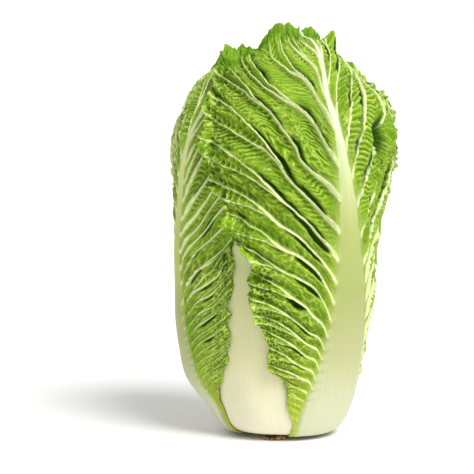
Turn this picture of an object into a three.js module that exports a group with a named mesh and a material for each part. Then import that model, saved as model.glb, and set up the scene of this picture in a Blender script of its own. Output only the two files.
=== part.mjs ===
// A head of napa cabbage standing on its trimmed base: a cut stem, nine wrapper leaves in three whorls,
// and the dense heart that they close round. Millimetres, +Z up, origin at the centre of the cut face.
// Angles run round the head from its front (-Y) towards +X.
import * as THREE from "three";

// ---- the head ----
// Half outline of the whole head, from the cut base up over the crown: [radius, height].
const HEAD_OUTLINE = [
  [24, 4.8], [31, 3.6], [38, 3.2], [45, 9], [51, 24], [56, 42], [60, 62], [66.5, 98], [70.5, 134],
  [75.5, 171], [79, 205], [79, 226], [73.5, 243], [62, 259], [47, 271], [30, 279], [10, 283],
];
const GATHER_RADIUS = 42; // above the shoulder a blade gathers in as if the head were still this wide
const GATHER_BLEND = 10;
const CROWN = [170, 225]; // along the outline, where the leaves bend in over the crown

// ---- leaf build ----
const BLADE = 1.2; // thickness of the green blade
const AIR = 1.9; // free space between one leaf and the next one in
const CROWN_AIR = 1.4; // and how much more there is over the crown
const PLEAT = 2.8; // how far the blade dips between two side veins
const VEIN_RISE = [2.6, 1.8]; // how far a side vein stands proud, at the rib and near the margin
const VEIN_SPAN = [0.05, 0.2]; // share of the leaf's length over which the side veins come up
const VEIN_BEND = [0.4, 0.6]; // where a side vein's bend lies, as shares of its way out and up
const LAST_VEIN = 0.93; // the last side vein leaves the rib at this share of the leaf's length
const VALLEY_SHIFT = 0.3; // a pleat is deepest this share of a row nearer to the vein over it
const FRILL = 4.6; // how far the margin waves out
const FRILL_SPAN = [0.55, 1]; // share of a side vein's length over which the waves grow
const RIB_PROUD = 0.45; // share of the rib's thickness that stands outside the blade
const PROUD_SPAN = [0, 0.15]; // share of the leaf's length over which the rib comes out that far
const HOLLOW_EDGE = 30; // how far past a rib the leaves under it stay pressed in
const COVER_EDGE = 8; // an inner leaf stays low for this far past the margin that covers it
const COVER_FADE = 36; // and comes up over this length
const FLARE_SPAN = [0.8, 1]; // share of the leaf's length over which a tip bends outwards

// Shapes along a leaf, each against the share of its length from base (0) to tip (1).
const BLADE_WIDTH = [
  [0, 0.26], [0.05, 0.28], [0.13, 0.34], [0.25, 0.5], [0.35, 0.66], [0.45, 0.82], [0.6, 0.97],
  [0.7, 1], [0.8, 0.96], [0.88, 0.84], [0.94, 0.64], [0.98, 0.38], [1, 0.06],
]; // share of the leaf's half width
const RIB_WIDTH = [
  [0, 31], [0.05, 34], [0.11, 35], [0.16, 32], [0.24, 26], [0.33, 20.5], [0.39, 17.5], [0.46, 13.5],
  [0.53, 10], [0.63, 6], [0.71, 3.6], [0.8, 2.3], [0.9, 1.6], [1, 1.2],
]; // half width of the pale midrib, in millimetres
const VEIN_END = [
  [0, 0], [0.12, 0.13], [0.28, 0.32], [0.43, 0.53], [0.6, 0.745], [0.69, 0.865], [0.77, 0.93],
  [0.88, 0.975], [1, 1],
]; // how far up the margin a side vein ends, by how far up the rib it starts
const RIB_THICKNESS = [[0, 6.5], [0.1, 8.5], [0.3, 8], [0.5, 6], [0.7, 4], [0.85, 2.6], [1, 1.4]];

// Outermost leaf first, each two fifths of a turn from the one before, as the leaves grow.
// angle, twist and lean in degrees: the rib starts at angle, twist turns it over the leaf's lower half
// and lean over its upper half. half is the blade's half width to the left and the right of the rib,
// and flare how far the tip bends outwards.
const GROWTH = [
  { angle: 54, twist: -9, lean: -20, length: 334, half: [101, 102], flare: 17 },
  { angle: -101, twist: 22, lean: 22, length: 322, half: [100, 80], flare: 9 },
  { angle: 117, twist: 0, lean: 10, length: 324, half: [92, 108], flare: 9 },
  { angle: -26, twist: -6, lean: 8, length: 318, half: [96, 96], flare: 9 },
  { angle: -171, twist: 0, lean: -12, length: 322, half: [96, 96], flare: 10 },
  { angle: 45, twist: 0, lean: 10, length: 316, half: [96, 96], flare: 10 },
  { angle: -99, twist: 0, lean: -14, length: 320, half: [82, 82], flare: 8 },
  { angle: 117, twist: 0, lean: 14, length: 318, half: [82, 82], flare: 8 },
  { angle: -27, twist: 0, lean: 10, length: 320, half: [82, 82], flare: 8 },
];
const WHORLS = [{ whorl: "outer", veins: 18 }, { whorl: "middle", veins: 14 }, { whorl: "inner", veins: 9 }];
const LEAVES_IN_WHORL = 3;
// Stretches of a margin that grew broader or narrower, for one side of a leaf: at and span are shares of
// its length, by is in millimetres.
const TRIMS = {
  outer_leaf_1: [{ side: -1, at: 0.46, span: 0.05, by: -9 }, { side: 1, at: 0.73, span: 0.07, by: -30 }],
  outer_leaf_2: [{ side: 1, at: 0.21, span: 0.09, by: 17 }, { side: 1, at: 0.5, span: 0.06, by: -10 }],
};
const LEAVES = GROWTH.map((growth, order) => {
  const { whorl, veins } = WHORLS[Math.floor(order / LEAVES_IN_WHORL)];
  const name = `${whorl}_leaf_${(order % LEAVES_IN_WHORL) + 1}`;
  return { ...growth, veins, name, trims: TRIMS[name] ?? [] };
});
const TWIST_SPAN = [0, 180]; // along the outline, where twist turns the rib
const LEAN_SPAN = [120, 290]; // and where lean does
const LEAST_BLADE = 3; // the blade runs down to the base this wide at least, on each side of the rib
const BLADE_COLUMNS = 5; // quads across the blade, on each side of the rib
const RIB_COLUMNS = 4; // quads across the rib

// ---- stem and heart ----
const STEM_HEIGHT = 26;
// Half section of the stem, [radius, height]: the knife's cut face, a low ring of leaf scars over it,
// and the stump that the leaf bases stand round.
const STEM_PROFILE = [
  [0, 0], [25, 0], [26, 0.8], [25.4, 2], [23.2, 2.5], [24.3, 9], [25, 16], [25, 24],
  [23, STEM_HEIGHT], [0, STEM_HEIGHT],
];
const STEM_SIDES = 32;
const HEART_START = 40; // where the heart's side begins, along the head outline
const HEART_TOP = 4; // and how far before the outline's end its last ring lies
const HEART_ROWS = 15;
const HEART_CROWDING = 0.8; // below 1, its rows stand closer together towards the crown
const HEART_COLUMNS = 36;
const HEART_REST = 0.8; // free height between the stem and the heart on it
const HEART_GAP = 2; // further free space between the heart's crown and the leaves over it
const HEART_FOLDS = 4; // leaf tips that lap over each other on the heart's crown
const FOLD_RISE = 4;
const FOLD_WIND = 90; // how far up the outline a fold's edge runs while it goes one fold round
const HEART_CROWN = [210, 270]; // along the outline, where the heart's folds come up

// ---- colours ----
const GREEN = new THREE.Color("#8fae3c");
const RIB_WHITE = new THREE.Color("#dfe3b8");
const HEART_YELLOW = new THREE.Color("#c9d468");
const STEM_CREAM = new THREE.Color("#d8cfa0");

const smooth = (low, high, t) => THREE.MathUtils.smoothstep(t, low, high);
const radians = THREE.MathUtils.degToRad;

// A smooth curve through [t, value] points, held level outside them.
function curve(points) {
  const slopes = points.map((p, i) => {
    const before = points[Math.max(i - 1, 0)];
    const after = points[Math.min(i + 1, points.length - 1)];
    return (after[1] - before[1]) / (after[0] - before[0]);
  });
  return (t) => {
    if (t <= points[0][0]) return points[0][1];
    const n = points.findIndex((p) => p[0] >= t);
    if (n < 0) return points.at(-1)[1];
    const [t0, v0] = points[n - 1];
    const [t1, v1] = points[n];
    const f = (t - t0) / (t1 - t0);
    const bend = (slopes[n - 1] * (1 - f) - slopes[n] * f) * (t1 - t0);
    return v0 * (1 - f) ** 2 * (1 + 2 * f) + v1 * f * f * (3 - 2 * f) + bend * f * (1 - f);
  };
}
const bladeWidth = curve(BLADE_WIDTH);
const ribWidth = curve(RIB_WIDTH);
const ribThickness = curve(RIB_THICKNESS);
const veinEnd = curve(VEIN_END);

const outline = new THREE.SplineCurve(HEAD_OUTLINE.map(([r, z]) => new THREE.Vector2(r, z)));
const OUTLINE_LENGTH = outline.getLength();

// The head's surface at a distance along its outline: radius, height and the outward normal.
function surface(along) {
  const u = THREE.MathUtils.clamp(along / OUTLINE_LENGTH, 0, 1);
  const p = outline.getPointAt(u);
  const t = outline.getTangentAt(u);
  const past = along - u * OUTLINE_LENGTH;
  return { r: p.x + t.x * past, z: p.y + t.y * past, nr: t.y, nz: -t.x };
}

// A point of the head, raised off its surface.
function place(angle, along, rise) {
  const { r, z, nr, nz } = surface(along);
  const radius = r + nr * rise;
  return [radius * Math.sin(angle), -radius * Math.cos(angle), z + nz * rise];
}

// ---- one leaf, in its own flat coordinates: x across from the rib, y up from the base ----
const wrapRadius = (y) => {
  const { r } = surface(y);
  return (r + GATHER_RADIUS + Math.hypot(r - GATHER_RADIUS, GATHER_BLEND)) / 2;
};
const ribAngle = (leaf, y) =>
  radians(leaf.angle + leaf.twist * smooth(...TWIST_SPAN, y) + leaf.lean * smooth(...LEAN_SPAN, y));
const halfWidth = (leaf, x, y) => {
  if (y > leaf.length) return leaf.length - y;
  const share = y / leaf.length;
  let width = leaf.half[x < 0 ? 0 : 1] * bladeWidth(share);
  for (const { side, at, span, by } of leaf.trims)
    if (side * x > 0) width += by * Math.exp(-(((share - at) / span) ** 2));
  return Math.max(width, ribWidth(share) + LEAST_BLADE);
};
const ribBulge = (leaf, x, y) => {
  const q = Math.min(Math.abs(x) / ribWidth(y / leaf.length), 1);
  return ribThickness(y / leaf.length) * (1 - q ** 2) ** 0.8;
};
const ribProud = (leaf, y) => RIB_PROUD * smooth(...PROUD_SPAN, y / leaf.length);
// The wider hollow that the leaves under a rib make for it.
const ribHollow = (leaf, x, y) => {
  const rib = ribWidth(y / leaf.length);
  return ribThickness(y / leaf.length) * (1 - smooth(0, rib + HOLLOW_EDGE, Math.abs(x)));
};

// How far a leaf covers the place (angle, y) of the head: 1 under it, 0 well clear of it.
function cover(leaf, angle, y) {
  let turn = angle - ribAngle(leaf, y);
  turn -= 2 * Math.PI * Math.round(turn / (2 * Math.PI));
  const x = turn * wrapRadius(y);
  const outside = Math.abs(x) - halfWidth(leaf, x, y);
  return { share: 1 - smooth(COVER_EDGE, COVER_EDGE + COVER_FADE, outside), x };
}

// How deep under the head's surface the first `count` leaves press this place, and the share of it that
// they leave bare.
function under(count, angle, y) {
  let depth = 0;
  let bare = 1;
  for (const leaf of LEAVES.slice(0, count)) {
    const { share, x } = cover(leaf, angle, y);
    const air = AIR + CROWN_AIR * smooth(...CROWN, y);
    const room = BLADE + air + (1 - ribProud(leaf, y)) * ribHollow(leaf, x, y) + PLEAT * bare;
    depth += share * room;
    bare *= 1 - share;
  }
  return { depth, bare };
}

// ---- a leaf as one closed sheet: its rows follow the side veins, from the rib up to the margin ----
function leafSheet(order) {
  const leaf = LEAVES[order];
  const rows = 2 * leaf.veins + 2;
  const columns = 2 * BLADE_COLUMNS + RIB_COLUMNS;
  const positions = [];
  const colours = [];

  // Flat place of a grid point, and how far out along its vein it lies.
  const flat = (row, column) => {
    const shift = row % 2 === 0 && row > 0 && row < rows ? VALLEY_SHIFT : 0;
    const w = (row + shift) / rows;
    const foot = LAST_VEIN * w * leaf.length;
    const end = veinEnd(w) * leaf.length;
    const rib = row < rows ? ribWidth(foot / leaf.length) : 0;
    const side = column < columns / 2 ? -1 : 1;
    const margin = row < rows ? halfWidth(leaf, side, end) : 0;
    const fromEdge = Math.min(column, columns - column);
    if (fromEdge > BLADE_COLUMNS)
      return { x: rib * (2 * (column - BLADE_COLUMNS) / RIB_COLUMNS - 1), y: foot, out: 0 };
    const out = 1 - fromEdge / BLADE_COLUMNS;
    const bend = 2 * out * (1 - out);
    const x = rib + (margin - rib) * (bend * VEIN_BEND[0] + out ** 2);
    const y = foot + (end - foot) * (bend * VEIN_BEND[1] + out ** 2);
    return { x: side * x, y, out };
  };

  // How far the sheet stands off its resting place: veins up, pleats down, and a waving margin.
  const relief = (row, column, out, y) => {
    const share = y / leaf.length;
    const tip = leaf.flare * smooth(...FLARE_SPAN, share);
    if (out === 0) return tip;
    const grown = smooth(...VEIN_SPAN, share) * smooth(0, 3, Math.min(row, rows - row));
    if (row % 2 === 0) return tip - PLEAT * smooth(0, 0.4, out) * grown;
    const wave = FRILL * (0.7 + 0.3 * Math.sin(row * 1.9 + column + order));
    return tip + (THREE.MathUtils.lerp(...VEIN_RISE, out) + wave * smooth(...FRILL_SPAN, out)) * grown;
  };

  for (const face of [1, 0])
    for (let row = 0; row <= rows; row++)
      for (let column = 0; column <= columns; column++) {
        const { x, y, out } = flat(row, column);
        const angle = ribAngle(leaf, y) + x / wrapRadius(y);
        const { depth, bare } = under(order, angle, y);
        const bulge = ribBulge(leaf, x, y);
        const stand = relief(row, column, out, y) * bare;
        const proud = ribProud(leaf, y) * bulge;
        const outer = stand - depth + proud * bare;
        const inner = stand - depth - BLADE - (bulge - proud);
        positions.push(...place(angle, y, face ? outer : inner));
        const pale = 1 - smooth(0.9, 1.25, Math.abs(x) / ribWidth(y / leaf.length));
        colours.push(...GREEN.clone().lerp(RIB_WHITE, pale).toArray());
      }

  // The last row's two halves are one line up the leaf's middle, and its rib is one point.
  const vertex = (face, row, column) => {
    const end = Math.min(column, columns - column, BLADE_COLUMNS);
    return (face * (rows + 1) + row) * (columns + 1) + (row < rows ? column : end);
  };
  return closedSheet(positions, colours, vertex, rows, columns);
}

// Two faces of quads and the rim between them, with quads that end in a point left as triangles.
function closedSheet(positions, colours, vertex, rows, columns) {
  const index = [];
  const triangle = (a, b, c) => {
    if (a !== b && b !== c && c !== a) index.push(a, b, c);
  };
  const quad = (a, b, c, d) => {
    triangle(a, b, c);
    triangle(a, c, d);
  };
  for (let row = 0; row < rows; row++)
    for (let column = 0; column < columns; column++) {
      const corners = (face) => [
        vertex(face, row, column), vertex(face, row, column + 1),
        vertex(face, row + 1, column + 1), vertex(face, row + 1, column),
      ];
      const [a, b, c, d] = corners(0);
      quad(a, b, c, d);
      const [e, f, g, h] = corners(1);
      triangle(e, g, f);
      triangle(e, h, g);
    }
  for (let row = 0; row < rows; row++)
    for (const column of [0, columns]) {
      const rim = [
        vertex(0, row, column), vertex(0, row + 1, column),
        vertex(1, row + 1, column), vertex(1, row, column),
      ];
      quad(...(column ? rim.reverse() : rim));
    }
  for (let column = 0; column < columns; column++)
    quad(vertex(0, 0, column + 1), vertex(0, 0, column), vertex(1, 0, column), vertex(1, 0, column + 1));
  const sheet = new THREE.BufferGeometry();
  sheet.setAttribute("position", new THREE.Float32BufferAttribute(positions, 3));
  sheet.setAttribute("color", new THREE.Float32BufferAttribute(colours, 3));
  sheet.setIndex(index);
  sheet.computeVertexNormals();
  return sheet;
}

// ---- the heart: a dense body under all the leaves, with lapping leaf tips on its crown ----
function heartBody() {
  const positions = [0, 0, STEM_HEIGHT + HEART_REST];
  const end = OUTLINE_LENGTH - HEART_TOP;
  const angles = Array.from({ length: HEART_COLUMNS }, (_, column) => radians(360 * column / HEART_COLUMNS));
  for (let row = 0; row <= HEART_ROWS; row++) {
    const y = THREE.MathUtils.lerp(HEART_START, end, (row / HEART_ROWS) ** HEART_CROWDING);
    const crown = smooth(...HEART_CROWN, y);
    const depths = angles.map((angle) => under(LEAVES.length, angle, y).depth);
    const deepest = Math.max(...depths);
    angles.forEach((angle, column) => {
      const turn = (HEART_FOLDS * angle) / (2 * Math.PI) + (end - y) / FOLD_WIND;
      const fold = FOLD_RISE * (turn - Math.floor(turn));
      const depth = THREE.MathUtils.lerp(depths[column], deepest, crown);
      positions.push(...place(angle, y, crown * (fold - FOLD_RISE - HEART_GAP) - depth));
    });
  }
  const last = positions.length / 3;
  positions.push(0, 0, positions.at(-1));
  const at = (row, column) => 1 + row * HEART_COLUMNS + (column % HEART_COLUMNS);
  const index = [];
  for (let column = 0; column < HEART_COLUMNS; column++) {
    index.push(0, at(0, column + 1), at(0, column));
    for (let row = 0; row < HEART_ROWS; row++) {
      index.push(at(row, column), at(row, column + 1), at(row + 1, column + 1));
      index.push(at(row, column), at(row + 1, column + 1), at(row + 1, column));
    }
    index.push(at(HEART_ROWS, column), at(HEART_ROWS, column + 1), last);
  }
  const body = new THREE.BufferGeometry();
  body.setAttribute("position", new THREE.Float32BufferAttribute(positions, 3));
  body.setIndex(index);
  body.computeVertexNormals();
  return body;
}

// ---- the stem ----
function stemBody() {
  const section = STEM_PROFILE.map(([r, z]) => new THREE.Vector2(r, z));
  return new THREE.LatheGeometry(section, STEM_SIDES).rotateX(Math.PI / 2);
}

function piece(name, geometry, settings) {
  const material = new THREE.MeshStandardMaterial({ metalness: 0, ...settings });
  const mesh = new THREE.Mesh(geometry, material);
  mesh.name = name;
  return mesh;
}

const cabbage = new THREE.Group();
cabbage.add(piece("stem", stemBody(), { color: STEM_CREAM, roughness: 0.7 }));
LEAVES.forEach((leaf, order) =>
  cabbage.add(piece(leaf.name, leafSheet(order), { vertexColors: true, roughness: 0.45 })));
cabbage.add(piece("heart", heartBody(), { color: HEART_YELLOW, roughness: 0.5 }));

export default cabbage;
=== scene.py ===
# A head of napa cabbage, freshly trimmed, standing on its cut base.
# Every leaf is one grown sheet: a broad pale rib, side veins that arch up to the margin, a blade that is
# folded between them and crinkled by the finer veins, and a frilled edge.
import math

import bpy
import numpy as np
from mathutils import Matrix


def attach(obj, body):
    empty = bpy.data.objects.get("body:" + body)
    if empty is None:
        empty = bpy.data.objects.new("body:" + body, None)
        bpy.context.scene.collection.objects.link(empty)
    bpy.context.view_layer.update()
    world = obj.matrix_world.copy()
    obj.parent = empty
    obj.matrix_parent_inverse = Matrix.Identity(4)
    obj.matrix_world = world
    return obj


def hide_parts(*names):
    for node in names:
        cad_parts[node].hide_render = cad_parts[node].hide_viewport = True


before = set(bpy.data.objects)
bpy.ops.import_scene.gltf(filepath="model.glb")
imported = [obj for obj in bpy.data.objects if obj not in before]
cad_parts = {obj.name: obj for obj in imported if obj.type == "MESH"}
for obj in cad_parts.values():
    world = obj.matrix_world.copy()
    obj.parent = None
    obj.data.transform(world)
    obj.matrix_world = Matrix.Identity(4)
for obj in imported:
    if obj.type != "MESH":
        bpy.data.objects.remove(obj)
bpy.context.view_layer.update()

MM = 0.001

# ---- the head, in millimetres ----
# Half outline, from the cut base up over the crown: radius, height.
HEAD_OUTLINE = [
    (24, 4.8), (31, 3.6), (38, 3.2), (45, 9), (51, 24), (56, 42), (60, 62), (66.5, 98), (70.5, 134),
    (75.5, 171), (79, 205), (79, 226), (73.5, 243), (62, 259), (47, 271), (30, 279), (10, 283),
]
GATHER_RADIUS = 42  # nearer the axis than this the blades gather in
GATHER_BLEND = 10
CROWN = (170, 225)  # along the outline, where the leaves bend in over the crown
# Where the head falls short of a round one: (angle, half span in degrees, along, half span along, how far).
SLUMPS = [
    (-90, 45, 258, 30, 7.5), (-92, 35, 290, 20, 2),  # left shoulder
    (92, 35, 281, 13, 5), (95, 40, 165, 45, 3.5),  # right shoulder and flank
    (-90, 40, 62, 18, -3.5),  # left foot
]

# ---- leaf build, in millimetres ----
BLADE = 1.0  # thickness of the green blade
AIR = 1.6  # between one leaf and the next
CROWN_AIR = 1.4  # and more over the crown
PLEAT = 4.6  # room for the folds of the leaf above
LEAST_BLADE = 3  # the blade is never narrower than this
RIB_PROUD = 0.45  # share of the rib that stands outside the blade
PROUD_SPAN = (0, 0.15)
FOOT = (30, 110)  # along the outline, where the leaf bases come apart
FOOT_AIR = 0.3  # share of the air that is left there
HOLLOW_EDGE = (4, 30)  # how far past a rib the leaf under it is dented, at the foot and above
COVER_EDGE = 8  # a leaf stays low for this far past the margin that covers it
COVER_FADE = 36
FLARE_SPAN = (0.8, 1)  # share of its length where a tip bends out
TWIST_SPAN = (0, 180)  # along the outline
LEAN_SPAN = (120, 290)
HOOK_SPAN = (262, 325)

VEIN_SPAN = (0.05, 0.2)  # share of its length where a leaf's side veins come up
LAST_VEIN = 0.93  # where the last one leaves the rib
TURN_OVER = 0.44  # share of the rib above which the folds lean the other way
STRAIGHT_SPAN = (0.4, 0.58)  # and over which the side veins straighten
BENT_VEIN = (0.4, 0.6)  # where a side vein bends, as shares of its way out and up
STRAIGHT_VEIN = (0.48, 0.52)
VEIN_DROP = 5  # how far its foot runs down along the rib
VEIN_RISE = (2, 1.4, 0.8)  # left and right of the rib, and at the margin
BRANCH_GAPS = (5.8, 4.8)  # between a side vein's branches, low and high on the leaf
MESH_LONG, MESH_HIGH = 8, (3.8, 5.2)  # of the net, and low and high on the leaf
CRINKLE_CELL = 3
CRINKLE_DEPTH = 2.1
FOLD_HEIGHT, FOLD_DIP = 2.6, 1.2
CREVICE_DEPTH = 6

LOBES = [(4.6, 17, 1), (2.2, 7, 2), (0.5, 3, 12)]  # of the margin: how far out, how long, noise seed
ROLL_STRIP, ROLL_RADIUS = 9.0, 5.0  # the strip along the margin that rolls outwards
RUFFLE, RUFFLE_STRIP = 7.5, 26  # how far the margin waves, and how far in from it
RIPPLE, RIPPLE_STRIP = 3.2, 12

# Shapes of a leaf, each against the share of its length from base (0) to tip (1).
BLADE_WIDTH = [  # share of the leaf's half width
    (0, 0.26), (0.05, 0.28), (0.13, 0.34), (0.25, 0.5), (0.35, 0.66), (0.45, 0.82), (0.6, 0.97),
    (0.7, 1), (0.8, 0.96), (0.88, 0.84), (0.94, 0.64), (0.98, 0.38), (1, 0.06),
]
RIB_WIDTH = [  # half width of the pale rib
    (0, 31), (0.05, 34), (0.11, 35), (0.16, 32), (0.24, 26), (0.33, 20.5), (0.39, 17.5), (0.46, 13.5),
    (0.53, 10), (0.63, 6), (0.71, 3.6), (0.8, 2.3), (0.9, 1.6), (1, 1),
]
RIB_THICKNESS = [(0, 6.5), (0.1, 8.5), (0.3, 8), (0.5, 6), (0.7, 4), (0.85, 2.6), (1, 1.4)]
# How far up the margin a side vein ends, by how far up the rib it starts.
VEIN_END = [
    (0, 0), (0.12, 0.135), (0.28, 0.34), (0.43, 0.575), (0.49, 0.685), (0.55, 0.79), (0.62, 0.895),
    (0.7, 0.955), (0.8, 0.985), (1, 1),
]
# How far apart the side veins leave the rib, by how far up it.
VEIN_GAPS = [(0, 5.5), (0.14, 6), (0.26, 8), (0.4, 13.5), (0.55, 18), (0.66, 23), (1, 24)]

# Outermost leaf first. Angles in degrees: twist, lean and hook turn the rib. half is the half width left and
# right of it, flare how far the tip bends out, gap how many times closer the side veins stand, crease how
# deep the folds are, slim how narrow the upper rib looks. The last one, a share, gives painted shade that
# tints the upper rib greener.
# Single places have their own lists:
# trims of the margin: (side, share of the length, half span as a share, how far out);
# swells, and bellies that fade at the margin: (across, along, half spans, how far out);
# spots of painted shade, where a hollow turns away from the light: (across, along, half spans).
PLAIN_LEAF = dict(
    half=(96, 96), twist=0, hook=0, gap=1, crease=1, slim=1, rib_shade=0,
    trims=[], swells=[], bellies=[], shade_spots=[],
)
INNER_LEAF = dict(half=(82, 82), flare=6, gap=1.7, rows=130, blade=38)
LEAVES = [{**PLAIN_LEAF, **leaf} for leaf in (
    dict(
        name="outer_leaf_1", angle=54, twist=-9, lean=-20, length=334, half=(101, 102), flare=11, hook=11,
        rows=380, blade=92,
        trims=[
            (-1, 0.45, 0.03, -6), (-1, 0.53, 0.04, 7), (-1, 0.27, 0.12, 16), (-1, 0.12, 0.06, 8),
            (-1, 0.225, 0.025, 9), (1, 0.73, 0.07, -30), (1, 0.86, 0.05, -9), (-1, 0.95, 0.03, 8),
        ],
        swells=[
            (43, 237, 7, 12, -13), (59, 240, 6, 15, 4.5),  # a dent beside the rib, and its lip
            (-58, 300, 20, 14, 1), (-54, 323, 6, 8, -6), (-37, 321, 9, 10, 8),  # lobes of the curled tip
            (-8, 332, 9, 8, -6), (9, 323, 8, 6, -3), (20, 314, 4.5, 4.5, 11),
        ],
        # painted shade in the dent beside the rib
        shade_spots=[(46, 237, 5.5, 11)],
    ),
    dict(
        name="outer_leaf_2", angle=-101, twist=22, lean=22, length=322, half=(100, 80), flare=5, gap=0.65,
        # its upper rib is tinted with painted shade, as it faces away from the light
        crease=0.8, slim=1.25, rib_shade=1, rows=380, blade=92,
        trims=[(1, 0.21, 0.09, 17), (1, 0.5, 0.06, -10)],
        bellies=[(10, 92, 40, 44, 10.5), (10, 155, 40, 30, 5)],
    ),
    dict(name="outer_leaf_3", angle=117, lean=10, length=324, half=(92, 108), flare=7, rows=300, blade=84),
    dict(name="middle_leaf_1", angle=-26, twist=-6, lean=8, length=318, flare=7, gap=1.1, rows=250, blade=70),
    dict(name="middle_leaf_2", angle=-171, lean=-12, length=322, flare=8, gap=1.1, rows=300, blade=84),
    dict(name="middle_leaf_3", angle=45, lean=10, length=316, flare=8, gap=1.3, rows=150, blade=46),
    dict(name="inner_leaf_1", angle=-99, lean=-14, length=320, **INNER_LEAF),
    dict(name="inner_leaf_2", angle=117, lean=14, length=318, **INNER_LEAF),
    dict(name="inner_leaf_3", angle=-27, lean=10, length=320, **INNER_LEAF),
)]
GREEN_LEAVES = 3  # the ribs of those under them are blanched
RIB_COLUMNS = 16

# ---- the heart and the stem, in millimetres ----
HEART_ROWS, HEART_COLUMNS = 110, 240
HEART_FOOT, HEART_FLOOR = 40, 26.8  # along the outline, and its height
HEART_TIPS = 4  # leaf tips that lap over each other in one turn
# Across the cut, up its dried rim and between the leaf bases: radius, height.
STEM_OUTLINE = [
    (4, 0), (12, 0), (20, 0.05), (24.4, 0.15), (25.6, 0.8), (25.2, 1.8), (23.4, 2.5), (23.6, 4),
    (24.1, 9), (24.8, 16), (24.6, 23), (23, 25.8), (12, 26), (4, 26),
]
STEM_RADIUS, STEM_TOP, STEM_COLUMNS = 24, 26.0, 132
SHREDS = 16
SHRED_ANGLES = (-26, 6)
SHRED_REACH = (11, 16.5)
SHRED_THICKNESS = 0.34


# ---- curves and surface of the head ----
def smooth(low, high, t):
    f = np.clip((t - low) / (high - low), 0, 1)
    return f * f * (3 - 2 * f)


def mix(a, b, t):
    return a + (b - a) * t


def peak(t, width):
    """1 where t is 0, and less on both sides."""
    return np.exp(-((t / width) ** 2))


def bell(x, y, at_x, at_y, half_x, half_y):
    """1 at a place, and less round it."""
    return np.exp(-(((x - at_x) / half_x) ** 2) - ((y - at_y) / half_y) ** 2)


def curve(points):
    """A smooth curve through (t, value) points, held level outside them."""
    t, v = np.array(points, float).T
    order = np.arange(len(t))
    before, after = np.maximum(order - 1, 0), np.minimum(order + 1, len(t) - 1)
    slope = (v[after] - v[before]) / (t[after] - t[before])

    def value(x):
        x = np.clip(x, t[0], t[-1])
        n = np.clip(np.searchsorted(t, x), 1, len(t) - 1)
        span = t[n] - t[n - 1]
        f = (x - t[n - 1]) / span
        bend = (slope[n - 1] * (1 - f) - slope[n] * f) * span
        return v[n - 1] * (1 - f) ** 2 * (1 + 2 * f) + v[n] * f * f * (3 - 2 * f) + bend * f * (1 - f)

    return value


def spline(points, steps=80):
    """Points of a Catmull-Rom curve through the given ones."""
    p = np.array([points[0], *points, points[-1]], float)
    t = np.linspace(0, 1, steps, endpoint=False)[:, None]
    found = []
    for a, b, c, d in zip(p, p[1:], p[2:], p[3:]):
        v0, v1 = (c - a) / 2, (d - b) / 2
        found.append((2 * b - 2 * c + v0 + v1) * t**3 + (3 * c - 3 * b - 2 * v0 - v1) * t**2 + v0 * t + b)
    return np.vstack([*found, p[-1:]])


blade_width, rib_width, rib_thickness = curve(BLADE_WIDTH), curve(RIB_WIDTH), curve(RIB_THICKNESS)
vein_end = curve(VEIN_END)
# How many side veins and grid rows lie below each step up the rib. Low down the rows stand closer.
STEPS = np.linspace(0, 1, 2001)
VEIN_COUNT = np.append(0, np.cumsum(np.diff(STEPS) * LAST_VEIN / curve(VEIN_GAPS)(STEPS[1:])))
ROW_COUNT = np.append(0, np.cumsum(np.diff(STEPS) / mix(0.65, 1, smooth(0.3, 0.5, STEPS[1:]))))

OUTLINE = spline(HEAD_OUTLINE)
OUTLINE_AT = np.append(0, np.cumsum(np.linalg.norm(np.diff(OUTLINE, axis=0), axis=1)))
OUTLINE_LENGTH = OUTLINE_AT[-1]
TANGENT = np.gradient(OUTLINE, OUTLINE_AT, axis=0)
TANGENT /= np.linalg.norm(TANGENT, axis=1)[:, None]


def surface(along):
    """The head's surface at a distance along its outline: radius, height and the outward normal."""
    on = np.clip(along, 0, OUTLINE_LENGTH)
    r, z, tr, tz = (np.interp(on, OUTLINE_AT, column) for column in (*OUTLINE.T, *TANGENT.T))
    past = along - on
    return r + tr * past, z + tz * past, tz, -tr


def slump(angle, along):
    """How far the head has sunk at a place."""
    sunk = 0
    for at, half, at_along, half_along, amount in SLUMPS:
        turn = (np.degrees(angle) - at + 180) % 360 - 180
        sunk = sunk + amount * bell(turn, along, 0, at_along, half, half_along)
    return sunk


def place(angle, along, rise):
    """Points of the head, raised off its surface, in millimetres."""
    r, z, nr, nz = surface(along)
    rise = rise - slump(angle, along)
    radius = r + nr * rise
    return np.stack([radius * np.sin(angle), -radius * np.cos(angle), z + nz * rise], -1)


def wrap_radius(y):
    r = surface(y)[0]
    return (r + GATHER_RADIUS + np.hypot(r - GATHER_RADIUS, GATHER_BLEND)) / 2


def rib_angle(leaf, y):
    turn = leaf["twist"] * smooth(*TWIST_SPAN, y) + leaf["lean"] * smooth(*LEAN_SPAN, y)
    turn = turn + leaf["hook"] * smooth(*HOOK_SPAN, y)
    return np.radians(leaf["angle"] + turn)


def half_width(leaf, side, y):
    share = np.minimum(y / leaf["length"], 1)
    left, right = leaf["half"]
    width = np.where(side < 0, left, right) * blade_width(share)
    for trimmed, centre, half_span, amount in leaf["trims"]:
        width = width + amount * peak(share - centre, half_span) * (side * trimmed > 0)
    width = np.maximum(width, rib_width(share) + LEAST_BLADE)
    return np.where(y > leaf["length"], leaf["length"] - y, width)


def rib_proud(leaf, y):
    return RIB_PROUD * smooth(*PROUD_SPAN, y / leaf["length"])


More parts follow.
